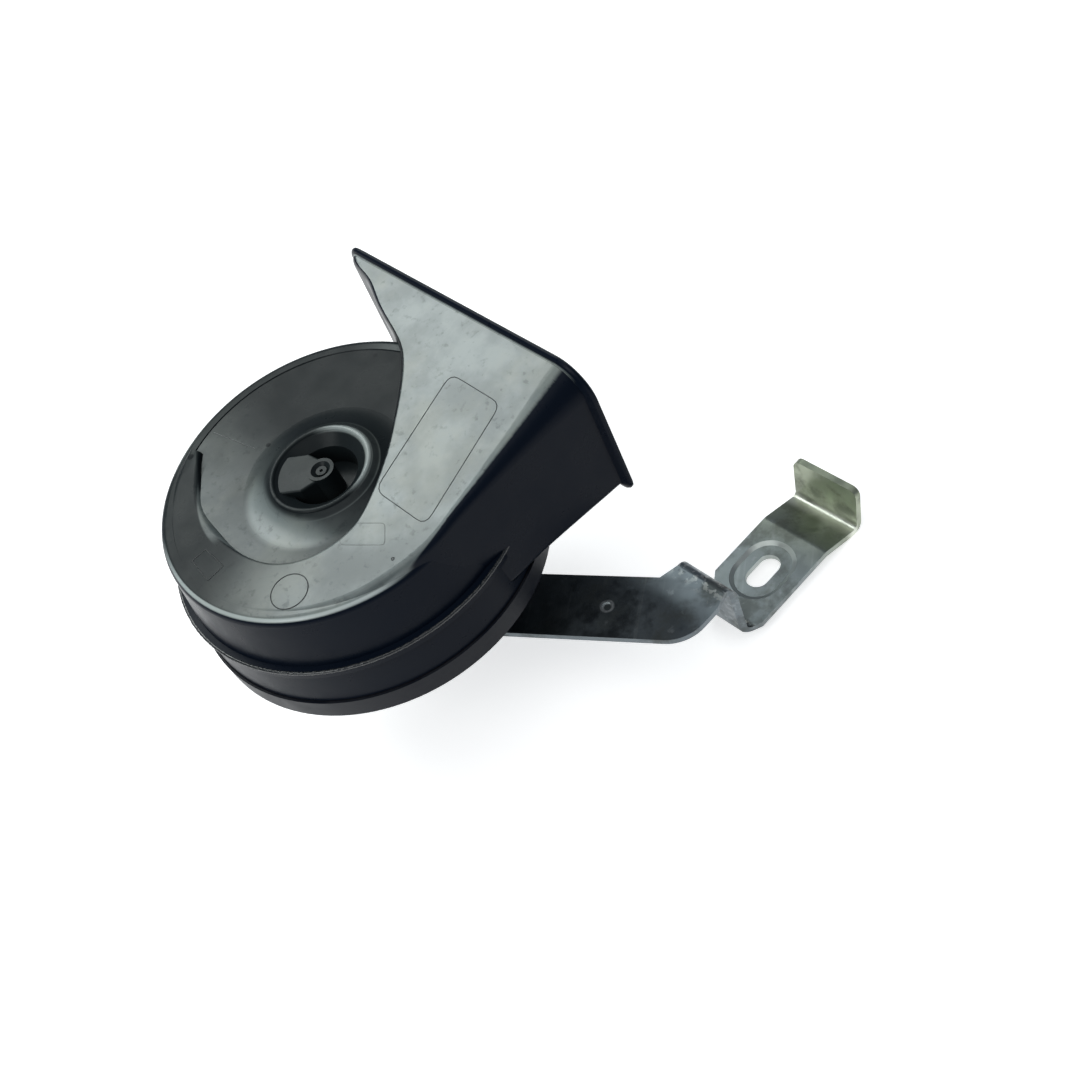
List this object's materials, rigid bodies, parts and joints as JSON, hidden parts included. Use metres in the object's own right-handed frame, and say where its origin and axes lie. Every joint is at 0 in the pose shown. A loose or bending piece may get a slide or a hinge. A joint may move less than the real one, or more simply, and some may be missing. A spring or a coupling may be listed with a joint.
{
  "type": "car horn",
  "caption": "Electric snail horn: a moulded spiral trumpet with a flared rectangular mouth on a clamped steel can, carried by a folded steel bracket with a slotted end.",
  "frame": {"origin": "free end of the stud that carries the bracket, on the horn's axis", "axes": "+Z along the horn's axis from the stud to the front face, +X the way the mouth blows, +Y to the left of the mouth seen from behind it"},
  "size_m": [0.1581, 0.1306, 0.1002],
  "materials": {
    "shell_plastic": "satin moulded black",
    "ring_steel": "satin black paint",
    "can_steel": "black paint",
    "bracket_zinc": "grey zinc plating",
    "fastener_zinc": "bright zinc plating",
    "core_iron": "zinc plated iron",
    "spring_steel": "bare spring steel",
    "seal_rubber": "matt",
    "bobbin_nylon": "natural",
    "copper": "enamelled copper wire",
    "contact_bronze": "spring bronze",
    "insulator": "laminate",
    "terminal_plastic": "matt black",
    "terminal_tin": "tinned brass"
  },
  "bodies": {
    "horn": {"trumpet_front_shell": "shell_plastic", "trumpet_rear_shell": "shell_plastic", "base_clamp_ring": "ring_steel", "housing_can": "can_steel", "mounting_bracket": "bracket_zinc", "bracket_nut": "fastener_zinc", "lock_washer": "fastener_zinc", "contact_rivet": "fastener_zinc", "adjusting_screw": "fastener_zinc", "terminal_rivets": "fastener_zinc", "pole_core": "core_iron", "diaphragm": "spring_steel", "rear_gasket": "seal_rubber", "front_gasket": "seal_rubber", "coil_bobbin": "bobbin_nylon", "coil_winding": "copper", "fixed_contact_arm": "contact_bronze", "moving_contact_arm": "contact_bronze", "fixed_contact": "contact_bronze", "moving_contact": "contact_bronze", "contact_spacer": "insulator", "contact_insulator": "insulator", "contact_cap_insulator": "insulator", "terminal_block": "terminal_plastic", "terminal_blade_left": "terminal_tin", "terminal_blade_right": "terminal_tin"},
    "armature": {"armature": "core_iron", "armature_washer": "core_iron", "armature_rivet": "core_iron"}
  },
  "joints": [
    {"name": "armature_stroke", "type": "slide", "parent": "horn", "child": "armature", "axis": [0, 0, 1], "range_m": [-0.0006, 0.0004], "stiffness_N_per_m": 140000, "deforming": ["diaphragm", "moving_contact_arm"]}
  ]
}
